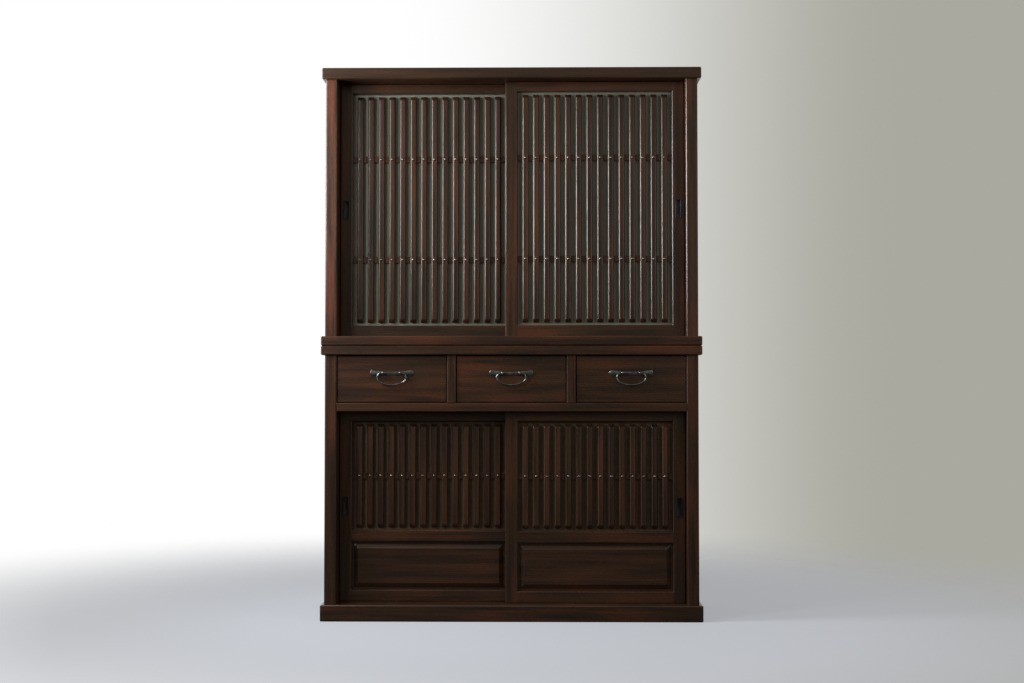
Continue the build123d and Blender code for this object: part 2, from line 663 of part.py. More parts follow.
def build_drawer(name, middle):
    front = body_front + DRAWER_RECESS
    front_x = grown(around(middle, drawer_opening), -DRAWER_CLEARANCE)
    front_z = grown((drawer_floor, drawer_head), -DRAWER_CLEARANCE)
    front_back = front + DRAWER_FRONT_THICKNESS
    back = back_panel_front - DRAWER_END_CLEARANCE
    face = block(front_x, (front, front_back), front_z)
    face = chamfer(front_edges(face, Axis.X) + front_edges(face, Axis.Z), DRAWER_CHAMFER)

    side_z = (drawer_floor + RIDE_CLEARANCE, drawer_head - DRAWER_HEADROOM)
    bottom_low = side_z[0] + DRAWER_BOTTOM_RAISE
    bottom_z = (bottom_low, bottom_low + DRAWER_BOTTOM_THICKNESS)
    inner_x = grown(front_x, -DRAWER_SIDE_THICKNESS)
    bottom = block(grown(inner_x, GROOVE_DEPTH), (front_back - GROOVE_DEPTH, back), bottom_z)
    back_y_range = (back - DRAWER_SIDE_THICKNESS, back)
    back_board = block(grown(inner_x, DRAWER_BACK_HOUSING), back_y_range, (bottom_z[1], side_z[1]))
    sides = []
    for side in ((front_x[0], inner_x[0]), (inner_x[1], front_x[1])):
        board = block(side, (front_back, back), side_z)
        for tail in dovetails(side, front_back, side_z):
            board += tail
        sides.append(board)
    sides = cut(sides, bottom, back_board)

    handle_z = sum(front_z) / 2 + HANDLE_RAISE
    pins = [eye_pin(middle + side * PIVOT_SPACING / 2, front, handle_z) for side in (-1, 1)]
    plate = cut([handle_plate(middle, front, handle_z)], *pins)
    pivot_y = front - PLATE_THICKNESS - PIVOT_STANDOFF
    nodes[name + "_front"] = cut([face], *sides, bottom, *pins)
    nodes[name + "_box"] = sides + [back_board, bottom]
    nodes[name + "_handle_plate"] = plate + pins
    nodes[name + "_bail"] = [bail(middle, pivot_y, handle_z)]


def build_drawers():
    for index, name in enumerate(("drawer_left", "drawer_middle", "drawer_right")):
        build_drawer(name, (index - (DRAWER_COUNT - 1) / 2) * drawer_pitch)


build_lower_chest()
build_upper_chest()
build_doors()
build_drawers()

for name, pieces in nodes.items():
    solids = [solid for piece in pieces for solid in piece.solids()]
    export_step(Compound(label=name, children=solids), f"parts/{name}.step")
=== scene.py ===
import json
from math import asin, pi, radians

import bpy
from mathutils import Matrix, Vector


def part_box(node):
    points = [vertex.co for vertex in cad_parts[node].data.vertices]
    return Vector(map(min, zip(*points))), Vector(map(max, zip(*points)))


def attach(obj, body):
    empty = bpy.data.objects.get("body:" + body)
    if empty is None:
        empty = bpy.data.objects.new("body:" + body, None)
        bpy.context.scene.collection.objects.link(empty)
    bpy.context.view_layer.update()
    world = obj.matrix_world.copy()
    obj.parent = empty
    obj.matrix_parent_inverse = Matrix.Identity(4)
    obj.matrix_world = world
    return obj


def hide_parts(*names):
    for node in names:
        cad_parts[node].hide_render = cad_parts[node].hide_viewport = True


bl_info = {
    "name": "Mizuya kitchen cabinet",
    "version": (1, 0, 0),
    "blender": (4, 5, 0),
    "location": "3D View > Sidebar > Mizuya",
    "description": "Finishes, iron fittings and studio for a two-stage mizuya cabinet",
    "category": "Object",
}

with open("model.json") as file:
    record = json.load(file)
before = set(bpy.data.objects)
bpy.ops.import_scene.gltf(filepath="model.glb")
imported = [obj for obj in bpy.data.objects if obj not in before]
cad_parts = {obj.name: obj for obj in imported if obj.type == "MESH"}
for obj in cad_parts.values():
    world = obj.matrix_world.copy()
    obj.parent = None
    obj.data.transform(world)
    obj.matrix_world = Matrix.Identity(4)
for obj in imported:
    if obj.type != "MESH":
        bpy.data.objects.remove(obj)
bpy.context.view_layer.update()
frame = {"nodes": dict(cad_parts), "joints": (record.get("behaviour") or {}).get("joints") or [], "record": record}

MM = 0.001

DOORS = ("upper_left_door", "upper_right_door", "lower_left_door", "lower_right_door")
DRAWERS = ("drawer_left", "drawer_middle", "drawer_right")
SLOTS = {part["node"]: part["material_slot"] for part in frame["record"]["subparts"]}
BODIES = {node: body for body, nodes in frame["record"]["behaviour"]["bodies"].items() for node in nodes}

# Joinery that the finishes and fittings follow
STILE_WIDTH = 40 * MM
SLAT_COUNT = 14
SLAT_WIDTH = 20 * MM
CROSSBAR_HEIGHT = 20 * MM
DRAWER_SIDE_THICKNESS = 12 * MM

# Handles and finger pulls, set out as the joinery expects them
PLATE_LENGTH = 139 * MM
PLATE_END_HEIGHT = 20 * MM
PLATE_END_BULGE = 4.5 * MM
PLATE_TOP_HOLLOW = 6 * MM
PLATE_BOTTOM_HOLLOW = 3.7 * MM
PLATE_THICKNESS = 3 * MM
PIVOT_SPACING = 54.6 * MM
PIVOT_STANDOFF = 7.5 * MM
EYE_RADIUS = 5 * MM
EYE_CLEARANCE = 0.35 * MM
EYE_ROUNDING = 3.8 * MM
SHANK_RADIUS = 1.8 * MM
SHANK_LENGTH = 26 * MM
SHOULDER_RADIUS = 15 * MM
BAIL_HALF_WIDTH = 46 * MM
BAIL_DROP = 38 * MM
BAIL_STUB = 3 * MM
BAIL_SHOULDER_STEPS = 10
BAIL_BOW_STEPS = 16
PULL_CORNER = 3.5 * MM
PULL_DEPTH = 9 * MM
PULL_SKIN = 0.6 * MM
PULL_TAPER = (0.94, 1, 0.97)
PULL_ROUNDING = 0.7 * MM
PULL_FOLD_ANGLE = radians(50)

# Merging and smoothing of meshes
CAD_MERGE = 0.01 * MM
SHELL_MERGE = 0.001 * MM
FLAT_ANGLE = radians(0.5)
ARRIS_ANGLE = radians(30)
SMOOTH_ANGLE = radians(40)

# A Bezier edge comes three quarters as far out as its handles stand
HANDLE_REACH = 4 / 3

# The object that shows each CAD node: its own, or the new piece that stands for it
shown = dict(frame["nodes"])


def linear(hex_colour):
    """An sRGB hex colour as linear red, green and blue."""
    channels = [int(hex_colour[place:place + 2], 16) / 255 for place in (1, 3, 5)]
    return [c / 12.92 if c <= 0.04045 else ((c + 0.055) / 1.055) ** 2.4 for c in channels]


# ---------------------------------------------------------------- settings


def colour(name, description, default):
    """A colour that a user may change."""
    return bpy.props.FloatVectorProperty(
        name=name, description=description, default=linear(default), subtype="COLOR", size=3, min=0, max=1)


def measure(name, description, default, unit="LENGTH"):
    """A measure that a user may change."""
    return bpy.props.FloatProperty(name=name, description=description, default=default, unit=unit)


class MIZUYA_PG_colours(bpy.types.PropertyGroup):
    """Colours of the finishes."""

    stain_dark: colour("Stain, dark", "Dark streaks of the stained wood", "#24170f")
    stain_mid: colour("Stain", "Most of the stained wood", "#392415")
    stain_bright: colour("Stain, bright", "Reddish patches where the stain is thin", "#522a19")
    backing: colour("Backing board", "The board behind each lower lattice", "#443421")
    cedar: colour("Plain cedar", "Shelves and guides", "#b48e63")
    back_board: colour("Back boards", "The thin stained boards at the back", "#6d4e39")
    paulownia: colour("Paulownia", "The drawer boxes", "#c8b38f")
    glass: colour("Frosted glass", "The panes behind the upper lattices", "#74766a")
    iron: colour("Iron", "The handles", "#5d605f")
    pull: colour("Finger pulls", "The darker iron of the finger pulls", "#34363a")
    nail: colour("Nails", "The browned heads of the nails", "#6e665f")
    floor: colour("Floor", "The floor of the studio", "#c4c8d0")
    backdrop_left: colour("Backdrop, left", "The backdrop on the window's side", "#ffffff")
    backdrop_right: colour("Backdrop, right", "The backdrop away from the window", "#aaa99f")
    room: colour("Room light", "The light that fills the room", "#fff3dc")


class MIZUYA_PG_sizes(bpy.types.PropertyGroup):
    """Sizes of the fittings and of the eased arrises."""

    arris: measure("Eased arris", "How far a sharp arris of the wood is rounded", 0.6 * MM)
    slat_arris: measure("Slat arris", "How far an arris of a slat is rounded", 1.6 * MM)
    nail_diameter: measure("Nail diameter", "Width of a dome nail's head", 8.5 * MM)
    nail_height: measure("Nail height", "How far a nail's head stands out", 3.0 * MM)
    bail_rod: measure("Bail rod", "Thickness of a handle's bail", 5.6 * MM)
    plate_edge: measure("Plate edge", "Rounding of a handle plate's edge", 1.4 * MM)
    pull_rim: measure("Pull rim", "Width of the rim of a finger pull", 3.0 * MM)


class MIZUYA_PG_studio(bpy.types.PropertyGroup):
    """The camera and the light."""

    lens: measure("Lens", "Focal length in mm", 52.4, "CAMERA")
    height: measure("Eye height", "Height of the camera", 0.733)
    distance: measure("Distance", "From the camera to the middle of the cabinet", 4.9455)
    aside: measure("Aside", "How far right of the middle the camera stands", 0.074)
    turn: measure("Turn", "How far the camera turns left", radians(0.87), "ROTATION")
    tilt: measure("Tilt", "How far the camera looks up", radians(1.84), "ROTATION")
    window: measure("Window light", "Power of the lamp at the window", 42, "POWER")
    overhead: measure("Overhead light", "Power of the lamp above", 2, "POWER")
    sides: measure("Side lights", "Power of the left lamp, of which the right one has a share", 26, "POWER")
    room: measure("Room", "Brightness of the room's upper half", 0.47, "NONE")


# ---------------------------------------------------------------- shader nodes


def add(tree, kind, inputs=(), **settings):
    """Adds a shader node. Its inputs are values, colours, nodes or sockets, by name or in order."""
    node = tree.nodes.new("ShaderNode" + kind)
    for name, value in settings.items():
        setattr(node, name, value)
    sockets = [socket for socket in node.inputs if socket.enabled]
    for key, value in (inputs.items() if isinstance(inputs, dict) else enumerate(inputs)):
        socket = sockets[key] if isinstance(key, int) else next(s for s in sockets if s.name == key)
        if isinstance(value, bpy.types.Node):
            value = next(output for output in value.outputs if output.enabled)
        if isinstance(value, bpy.types.NodeSocket):
            tree.links.new(value, socket)
        elif socket.type == "RGBA":
            socket.default_value = (*value, 1.0)
        else:
            socket.default_value = value
    return node


def blank_material(name):
    """A material with no nodes yet, and its tree."""
    material = bpy.data.materials.new(name)
    material.use_nodes = True
    material.node_tree.nodes.clear()
    return material, material.node_tree


# ---------------------------------------------------------------- wood

# For grain along each axis, the axes that give a member's length, width and depth
GRAIN_ORDERS = {"X": "XZY", "Y": "YZX", "Z": "ZXY"}

# Width, stretch along the grain, and detail of each pattern. Real fibres are some hundredths of a millimetre
# wide and real pores a tenth or two, too fine to show from where one stands, so both are drawn coarser
PATTERNS = {
    "streak": (20 * MM, 15, 3.0),
    "cloud": (170 * MM, 2, 2.0),
    "fibre": (1.6 * MM, 30, 3.0),
    "pore": (3 * MM, 3, 2.0),
    "warp": (60 * MM, 8, 2.0),
}

# The growth rings' spacing, how far they wander, and how far off the pith lies that they run round
RING_SPACING = 6 * MM
RING_WARP = 18 * MM
PITH = (0, 70 * MM, 45 * MM)

# Late wood darkens over most of a ring, and ends soon after its darkest
LATE_WOOD_START = 0.3
LATE_WOOD_PEAK = 0.92

# Noise lies mostly in the first span. The streaks are sharper than it, and the clouds fewer
NOISE_SPAN = {"From Min": 0.3, "From Max": 0.7}
STREAK_SPAN = {"From Min": 0.34, "From Max": 0.66}
CLOUD_SPAN = {"From Min": 0.46, "From Max": 0.74}

# How far the fine figure changes the tone and the roughness, and how deep it can be felt
FIBRE_TONE = 0.14
PORE_TONE = 0.18
FIBRE_GLOSS = 0.05
RING_RELIEF = 0.1
RELIEF_DEPTH = 0.6 * MM
RELIEF_STRENGTH = 0.5
WOOD_SPECULAR = 0.4

# How far apart in the pattern two members may lie, and what tells their numbers apart
MEMBER_SHIFT = 3.0
MEMBER_STEP = 7.1

# The dark streaks, the most part and the light patches of plain wood, as shares of its colour
PLAIN_SHADES = (0.74, 1.0, 1.12)


def along(tree, position, axis):
    """A position with the length of the member first, then its width and its depth."""
    parts = add(tree, "SeparateXYZ", [position])
    return add(tree, "CombineXYZ", [parts.outputs[letter] for letter in GRAIN_ORDERS[axis]])


def grain(axis, paired=0.0):
    """A layout for members that all run along one axis, told apart by side if they come in pairs."""
    def layout(tree, position):
        parts = add(tree, "SeparateXYZ", [position])
        side = add(tree, "Math", [parts.outputs["X"]], operation="SIGN")
        return along(tree, position, axis), add(tree, "Math", [side, paired], operation="MULTIPLY")
    return layout


def crossed(tree, position, is_second, first_axis, second_axis):
    """Grain along one axis, and along another where is_second is 1."""
    first = along(tree, position, first_axis)
    second = along(tree, position, second_axis)
    return add(tree, "Mix", {"Factor": is_second, "A": first, "B": second}, data_type="VECTOR")


def door_frame_grain(tree, position):
    """Rails along X between stiles along Z, each with its own number."""
    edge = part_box("upper_right_door_frame")[1].x - STILE_WIDTH
    parts = add(tree, "SeparateXYZ", [position])
    across = add(tree, "Math", [parts.outputs["X"]], operation="ABSOLUTE")
    is_meeting = add(tree, "Math", [across, STILE_WIDTH / 2], operation="LESS_THAN")
    is_closing = add(tree, "Math", [across, edge], operation="GREATER_THAN")
    is_stile = add(tree, "Math", [is_meeting, is_closing], operation="MAXIMUM")
    side = add(tree, "Math", [parts.outputs["X"]], operation="SIGN")
    closing_number = add(tree, "Math", [is_closing, MEMBER_STEP, side], operation="MULTIPLY_ADD")
    number = add(tree, "Math", [is_meeting, 2 * MEMBER_STEP, closing_number], operation="MULTIPLY_ADD")
    return crossed(tree, position, is_stile, "X", "Z"), number


def slat_grain(tree, position):
    """Grain along Z, with a number for each slat."""
    low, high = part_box("upper_right_door_slats")
    pitch = (high.x - low.x - SLAT_WIDTH) / (SLAT_COUNT - 1)
    parts = add(tree, "SeparateXYZ", [position])
    across = add(tree, "Math", [parts.outputs["X"]], operation="ABSOLUTE")
    from_first = add(tree, "Math", [across, low.x + SLAT_WIDTH / 2], operation="SUBTRACT")
    place = add(tree, "Math", [from_first, pitch], operation="DIVIDE")
    number = add(tree, "Math", [place], operation="ROUND")
    side = add(tree, "Math", [parts.outputs["X"]], operation="SIGN")
    return along(tree, position, "Z"), add(tree, "Math", [side, SLAT_COUNT, number], operation="MULTIPLY_ADD")


def plinth_grain(tree, position):
    """Four boards that meet in mitres, each with its grain along its length."""
    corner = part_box("plinth")[1]
    parts = add(tree, "SeparateXYZ", [position])
    outside = []
    for letter, size in (("X", corner.x), ("Y", corner.y)):
        out = add(tree, "Math", [parts.outputs[letter]], operation="ABSOLUTE")
        outside.append(add(tree, "Math", [out, size], operation="SUBTRACT"))
    is_side = add(tree, "Math", outside, operation="GREATER_THAN")
    return crossed(tree, position, is_side, "X", "Y"), is_side


def drawer_number(tree, parts, kind):
    """0 for the middle drawer, -1 and 1 for its neighbours, and how far apart they are."""
    pitch = (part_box("drawer_right" + kind)[0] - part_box("drawer_middle" + kind)[0]).x
    place = add(tree, "Math", [parts.outputs["X"], pitch], operation="DIVIDE")
    return add(tree, "Math", [place], operation="ROUND"), pitch


def drawer_front_grain(tree, position):
    """Grain along X, with a number for each drawer."""
    parts = add(tree, "SeparateXYZ", [position])
    return along(tree, position, "X"), drawer_number(tree, parts, "_front")[0]


def drawer_box_grain(tree, position):
    """Drawer sides along Y, and the back and bottom along X."""
    parts = add(tree, "SeparateXYZ", [position])
    number, pitch = drawer_number(tree, parts, "_box")
    local = add(tree, "Math", [number, -pitch, parts.outputs["X"]], operation="MULTIPLY_ADD")
    across = add(tree, "Math", [local], operation="ABSOLUTE")
    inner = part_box("drawer_middle_box")[1].x - DRAWER_SIDE_THICKNESS
    is_side = add(tree, "Math", [across, inner], operation="GREATER_THAN")
    member = add(tree, "Math", [is_side, MEMBER_STEP, number], operation="MULTIPLY_ADD")
    return crossed(tree, position, is_side, "X", "Y"), member


def late_wood(tree, lengthwise, warp):
    """How dark the growth rings are, which lie round a pith beside the member."""
    from_pith = add(tree, "VectorMath", [lengthwise, PITH], operation="ADD")
    across = add(tree, "VectorMath", [from_pith, (0, 1, 1)], operation="MULTIPLY")
    radius = add(tree, "VectorMath", [across], operation="LENGTH")
    warped = add(tree, "Math", [warp, RING_WARP, radius], operation="MULTIPLY_ADD")
    ring = add(tree, "Math", [warped, RING_SPACING], operation="DIVIDE")
    phase = add(tree, "Math", [ring], operation="FRACT")
    rise = add(tree, "MapRange", {"Value": phase, "From Min": LATE_WOOD_START, "From Max": LATE_WOOD_PEAK},
               interpolation_type="SMOOTHSTEP")
    fall = add(tree, "MapRange", {"Value": phase, "From Min": LATE_WOOD_PEAK, "To Min": 1.0, "To Max": 0.0})
    return add(tree, "Math", [rise, fall], operation="MULTIPLY")


def wood(name, layout, colours, glow=1.0, rings=0.18, tones=0.25, roughness=0.3):
    """Solid wood with streaks, clouds of stain, growth rings and fine fibres, new for each member.

    glow is how strong the clouds are, rings how dark the late wood is, and tones how far members differ.
    """
    dark, mid, bright = colours
    material, tree = blank_material(name)
    position = add(tree, "TexCoord").outputs["Object"]
    lengthwise, member = layout(tree, position)
    own = add(tree, "ObjectInfo").outputs["Random"]
    number = add(tree, "Math", [own, MEMBER_STEP * SLAT_COUNT, member], operation="MULTIPLY_ADD")
    chance = add(tree, "TexWhiteNoise", {"W": number}, noise_dimensions="1D")
    shift = add(tree, "VectorMath", {"Vector": chance.outputs["Color"], "Scale": MEMBER_SHIFT},
                operation="SCALE")
    shifted = add(tree, "VectorMath", [lengthwise, shift], operation="ADD")

    patterns = {}
    for kind, (width, stretch, detail) in PATTERNS.items():
        scale = (1 / width / stretch, 1 / width, 1 / width)
        fitted = add(tree, "VectorMath", [shifted, scale], operation="MULTIPLY")
        patterns[kind] = add(tree, "TexNoise", {"Vector": fitted, "Scale": 1.0, "Detail": detail}).outputs[0]
    late = late_wood(tree, lengthwise, patterns["warp"])

    streak = add(tree, "MapRange", {"Value": patterns["streak"], **STREAK_SPAN})
    ground = add(tree, "Mix", {"Factor": streak, "A": dark, "B": mid}, data_type="RGBA")
    cloud = add(tree, "MapRange", {"Value": patterns["cloud"], **CLOUD_SPAN, "To Max": glow})
    thin = add(tree, "Math", [cloud, streak], operation="MULTIPLY")
    stain = add(tree, "Mix", {"Factor": thin, "A": ground, "B": bright}, data_type="RGBA")

    ring_tone = add(tree, "Math", [late, -rings, 1.0], operation="MULTIPLY_ADD")
    fibre_tone = add(tree, "MapRange", {
        "Value": patterns["fibre"], **NOISE_SPAN, "To Min": 1 - FIBRE_TONE, "To Max": 1 + FIBRE_TONE})
    member_tone = add(tree, "Math", [chance.outputs["Value"], tones, 1 - tones / 2], operation="MULTIPLY_ADD")
    pore_tone = add(tree, "MapRange", {
        "Value": patterns["pore"], **NOISE_SPAN, "To Min": 1 - PORE_TONE, "To Max": 1 + PORE_TONE})
    fine_figure = add(tree, "Math", [fibre_tone, pore_tone], operation="MULTIPLY")
    figure = add(tree, "Math", [ring_tone, fine_figure], operation="MULTIPLY")
    tone = add(tree, "Math", [figure, member_tone], operation="MULTIPLY")
    tint = add(tree, "CombineColor", [tone, tone, tone])
    toned = add(tree, "Mix", {"Factor": 1.0, "A": stain, "B": tint}, data_type="RGBA", blend_type="MULTIPLY")

    gloss = add(tree, "MapRange", {
        "Value": patterns["fibre"], **NOISE_SPAN,
        "To Min": roughness + FIBRE_GLOSS, "To Max": roughness - FIBRE_GLOSS})
    height = add(tree, "Math", [late, RING_RELIEF, patterns["pore"]], operation="MULTIPLY_ADD")
    relief = add(tree, "Bump", {"Height": height, "Distance": RELIEF_DEPTH, "Strength": RELIEF_STRENGTH})
    surface = add(tree, "BsdfPrincipled", {
        "Base Color": toned, "Roughness": gloss, "Normal": relief, "Specular IOR Level": WOOD_SPECULAR})
    add(tree, "OutputMaterial", {"Surface": surface})
    return material


# ---------------------------------------------------------------- other finishes


# Hammer marks, the skin that the fire leaves, and rubbed spots. The skin's real grain is about a quarter of
# this, too fine to show, so it is drawn coarser
DENT_SIZE = 5 * MM
SKIN_GRAIN = 1.2 * MM
WEAR_SIZE = 14 * MM
WEAR_SPAN = {"From Min": 0.45, "From Max": 0.7, "To Min": 1.0, "To Max": 1.7}
SKIN_SMOOTHER = 0.06
SKIN_ROUGHER = 0.08
SKIN_RELIEF = 0.15
DENT_DEPTH = 0.2 * MM
DENT_STRENGTH = 0.4
IRON_METALLIC = 0.9

# The pits of sand-blasted glass, and how unevenly it was blasted. Real pits are about a tenth of this, too
# fine to show, so they are drawn coarser
PIT_SIZE = 1.5 * MM
PIT_DEPTH = 0.05 * MM
PIT_STRENGTH = 0.3
VEIL_SIZE = 120 * MM
VEIL_TONE = 0.08
GLASS_ROUGHNESS = 0.35
GLASS_TRANSMISSION = 0.2


def forged_iron(name, base, roughness):
    """Hand-forged iron with soft hammer marks, a fire skin and rubbed spots."""
    material, tree = blank_material(name)
    position = add(tree, "TexCoord").outputs["Object"]
    dents = add(tree, "TexVoronoi", {"Vector": position, "Scale": 1 / DENT_SIZE}, feature="SMOOTH_F1")
    skin = add(tree, "TexNoise", {"Vector": position, "Scale": 1 / SKIN_GRAIN, "Detail": 3.0})
    wear = add(tree, "TexNoise", {"Vector": position, "Scale": 1 / WEAR_SIZE, "Detail": 2.0})
    worn = add(tree, "MapRange", {"Value": wear, **WEAR_SPAN})
    tint = add(tree, "CombineColor", [worn, worn, worn])
    toned = add(tree, "Mix", {"Factor": 1.0, "A": base, "B": tint}, data_type="RGBA", blend_type="MULTIPLY")
    gloss = add(tree, "MapRange", {
        "Value": skin, **NOISE_SPAN, "To Min": roughness - SKIN_SMOOTHER, "To Max": roughness + SKIN_ROUGHER})
    height = add(tree, "Math", [skin, SKIN_RELIEF, dents], operation="MULTIPLY_ADD")
    relief = add(tree, "Bump", {"Height": height, "Distance": DENT_DEPTH, "Strength": DENT_STRENGTH})
    surface = add(tree, "BsdfPrincipled", {
        "Base Color": toned, "Roughness": gloss, "Normal": relief, "Metallic": IRON_METALLIC})
    add(tree, "OutputMaterial", {"Surface": surface})
    return material


def frosted_glass(base):
    """Sand-blasted glass with fine pits, blasted a little unevenly."""
    material, tree = blank_material("Frosted glass")
    position = add(tree, "TexCoord").outputs["Object"]
    pits = add(tree, "TexNoise", {"Vector": position, "Scale": 1 / PIT_SIZE, "Detail": 2.0})
    cloud = add(tree, "TexNoise", {"Vector": position, "Scale": 1 / VEIL_SIZE, "Detail": 2.0})
    veil = add(tree, "MapRange", {
        "Value": cloud, **NOISE_SPAN, "To Min": 1 - VEIL_TONE, "To Max": 1 + VEIL_TONE})
    tint = add(tree, "CombineColor", [veil, veil, veil])
    toned = add(tree, "Mix", {"Factor": 1.0, "A": base, "B": tint}, data_type="RGBA", blend_type="MULTIPLY")
    relief = add(tree, "Bump", {"Height": pits, "Distance": PIT_DEPTH, "Strength": PIT_STRENGTH})
    surface = add(tree, "BsdfPrincipled", {
        "Base Color": toned, "Normal": relief, "Roughness": GLASS_ROUGHNESS,
        "Transmission Weight": GLASS_TRANSMISSION})
    add(tree, "OutputMaterial", {"Surface": surface})
    return material


def finish(nodes, material):
    """Gives CAD nodes, or the pieces that stand for them, a finish."""
    for name in nodes:
        for slot in shown[name].material_slots:
            slot.material = material


# ---------------------------------------------------------------- modelling


def deselect():
    """Leaves edit mode and selects nothing."""
    if bpy.context.object and bpy.context.object.mode != "OBJECT":
        bpy.ops.object.mode_set(mode="OBJECT")
    bpy.ops.object.select_all(action="DESELECT")


def open_mesh(piece):
    """Selects only this piece, and all of its mesh in edit mode."""
    deselect()
    piece.select_set(True)
    bpy.context.view_layer.objects.active = piece
    bpy.ops.object.mode_set(mode="EDIT")
    bpy.ops.mesh.select_all(action="SELECT")


def begin(primitive, **settings):
    """Adds a primitive, puts its place in its mesh, and opens it."""
    deselect()
    getattr(bpy.ops.mesh, f"primitive_{primitive}_add")(**settings)
    bpy.ops.object.transform_apply(location=True, rotation=True, scale=True)
    piece = bpy.context.object
    open_mesh(piece)
    return piece


def apply_modifier(piece, kind, **settings):
    """Adds a modifier and applies it."""
    modifier = piece.modifiers.new(kind.title(), kind)
    for name, value in settings.items():
        setattr(modifier, name, value)
    deselect()
    bpy.context.view_layer.objects.active = piece
    bpy.ops.object.modifier_apply(modifier=modifier.name)


def select_faces(piece, wanted):
    """Selects the faces of an open mesh whose middle and normal are wanted."""
    bpy.ops.mesh.select_mode(type="FACE")
    bpy.ops.mesh.select_all(action="DESELECT")
    bpy.ops.object.mode_set(mode="OBJECT")
    for face in piece.data.polygons:
        face.select = wanted(face.center, face.normal)
    bpy.ops.object.mode_set(mode="EDIT")


def extrude(offset):
    """Extrudes what is selected by an offset."""
    bpy.ops.mesh.extrude_region_move(TRANSFORM_OT_translate={"value": offset})


def duplicate(piece, offset):
    """A copy of a piece with its own mesh, at an offset from it."""
    deselect()
    piece.select_set(True)
    bpy.context.view_layer.objects.active = piece
    bpy.ops.object.duplicate()
    bpy.ops.transform.translate(value=offset)
    bpy.ops.object.transform_apply(location=True, rotation=True, scale=True)
    return bpy.context.object


def join(pieces):
    """Makes several pieces one."""
    deselect()
    for piece in pieces:
        piece.select_set(True)
    bpy.context.view_layer.objects.active = pieces[0]
    bpy.ops.object.join()
    return pieces[0]


def tidy_shell(piece):
    """Merges doubles and turns every face outwards."""
    open_mesh(piece)
    bpy.ops.mesh.remove_doubles(threshold=SHELL_MERGE)
    bpy.ops.mesh.normals_make_consistent(inside=False)
    deselect()


def settle(piece, name, body, material):
    """Names a finished piece, smooths its shading, and lets it ride on its body."""
    deselect()
    piece.select_set(True)
    bpy.context.view_layer.objects.active = piece
    bpy.ops.object.shade_smooth_by_angle(angle=SMOOTH_ANGLE)
    piece.name = name
    piece.data.name = name
    piece.data.materials.clear()
    piece.data.materials.append(material)
    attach(piece, body)
    return piece


def eased(node, width, smooth):
    """A copy of a CAD piece that stands for it, with its arrises rounded. Smooth ones shade as curves."""
    piece = bpy.data.objects.new(node + "_eased", frame["nodes"][node].data.copy())
    bpy.context.collection.objects.link(piece)
    open_mesh(piece)
    bpy.ops.mesh.remove_doubles(threshold=CAD_MERGE)
    bpy.ops.mesh.dissolve_limited(angle_limit=FLAT_ANGLE)
    if smooth:
        bpy.ops.mesh.faces_shade_smooth()
    apply_modifier(piece, "BEVEL", width=width, segments=3 if smooth else 2, limit_method="ANGLE",
                   angle_limit=ARRIS_ANGLE, use_clamp_overlap=False, harden_normals=smooth)
    piece.data.name = piece.name
    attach(piece, BODIES[node])
    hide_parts(node)
    return piece


def nail_row(first, pitch, radius, height):
    """A row of domed nail heads that face the front, one for each slat."""
    nail = begin("uv_sphere", segments=14, ring_count=8, radius=radius, location=first,
                 rotation=(pi / 2, 0, 0))
    bpy.ops.mesh.bisect(plane_co=first, plane_no=(0, 1, 0), use_fill=True, clear_outer=True)
    bpy.ops.mesh.select_all(action="SELECT")
    bpy.ops.transform.resize(value=(1, height / radius, 1), center_override=first)
    apply_modifier(nail, "ARRAY", count=SLAT_COUNT, use_relative_offset=False, use_constant_offset=True,
                   constant_offset_displace=(pitch, 0, 0))
    return nail


def handle_plate(x, front, z, edge):
    """A bow-shaped plate with a rounded edge, hollow above and below."""
    deselect()
    middle = (x, front - PLATE_THICKNESS / 2, z)
    bpy.ops.curve.primitive_bezier_circle_add(location=middle, rotation=(pi / 2, 0, 0))
    plate = bpy.context.object
    outline = plate.data
    outline.dimensions = "2D"
    outline.fill_mode = "BOTH"
    outline.extrude = PLATE_THICKNESS / 2 - edge
    outline.bevel_depth = edge
    outline.bevel_resolution = 2
    outline.offset = -edge
    end = PLATE_LENGTH / 2 - PLATE_END_BULGE
    high = PLATE_END_HEIGHT / 2
    for point, (side, up) in zip(outline.splines[0].bezier_points, ((-1, 1), (1, 1), (1, -1), (-1, -1))):
        hollow = PLATE_TOP_HOLLOW if up > 0 else PLATE_BOTTOM_HOLLOW
        along_edge = (side * end / 3, up * (high - hollow * HANDLE_REACH), 0)
        round_end = (side * (end + PLATE_END_BULGE * HANDLE_REACH), up * high / 3, 0)
        point.handle_left_type = point.handle_right_type = "FREE"
        point.co = (side * end, up * high, 0)
        turns_out = side == up
        point.handle_left = along_edge if turns_out else round_end
        point.handle_right = round_end if turns_out else along_edge
    bpy.ops.object.convert(target="MESH")
    bpy.ops.object.transform_apply(location=True, rotation=True, scale=True)
    tidy_shell(plate)
    return plate


def eye_pin(x, front, z, rod_radius):
    """A domed pin with an eye for the bail, and a shank through the drawer front."""
    base = front - PLATE_THICKNESS
    head = PIVOT_STANDOFF + EYE_RADIUS
    pin = begin("cylinder", vertices=24, radius=EYE_RADIUS, depth=head, location=(x, base - head / 2, z),
                rotation=(pi / 2, 0, 0))
    select_faces(pin, lambda middle, normal: normal.y > 0.5)
    bpy.ops.mesh.inset(thickness=EYE_RADIUS - SHANK_RADIUS)
    extrude((0, SHANK_LENGTH, 0))
    select_faces(pin, lambda middle, normal: normal.y < -0.5)
    bpy.ops.mesh.bevel(offset=EYE_ROUNDING, segments=5, affect="EDGES")
    eye = begin("cylinder", vertices=20, radius=rod_radius + EYE_CLEARANCE, depth=4 * EYE_RADIUS,
                location=(x, base - PIVOT_STANDOFF, z), rotation=(0, pi / 2, 0))
    apply_modifier(pin, "BOOLEAN", object=eye, operation="DIFFERENCE")
    bpy.data.objects.remove(eye)
    return pin


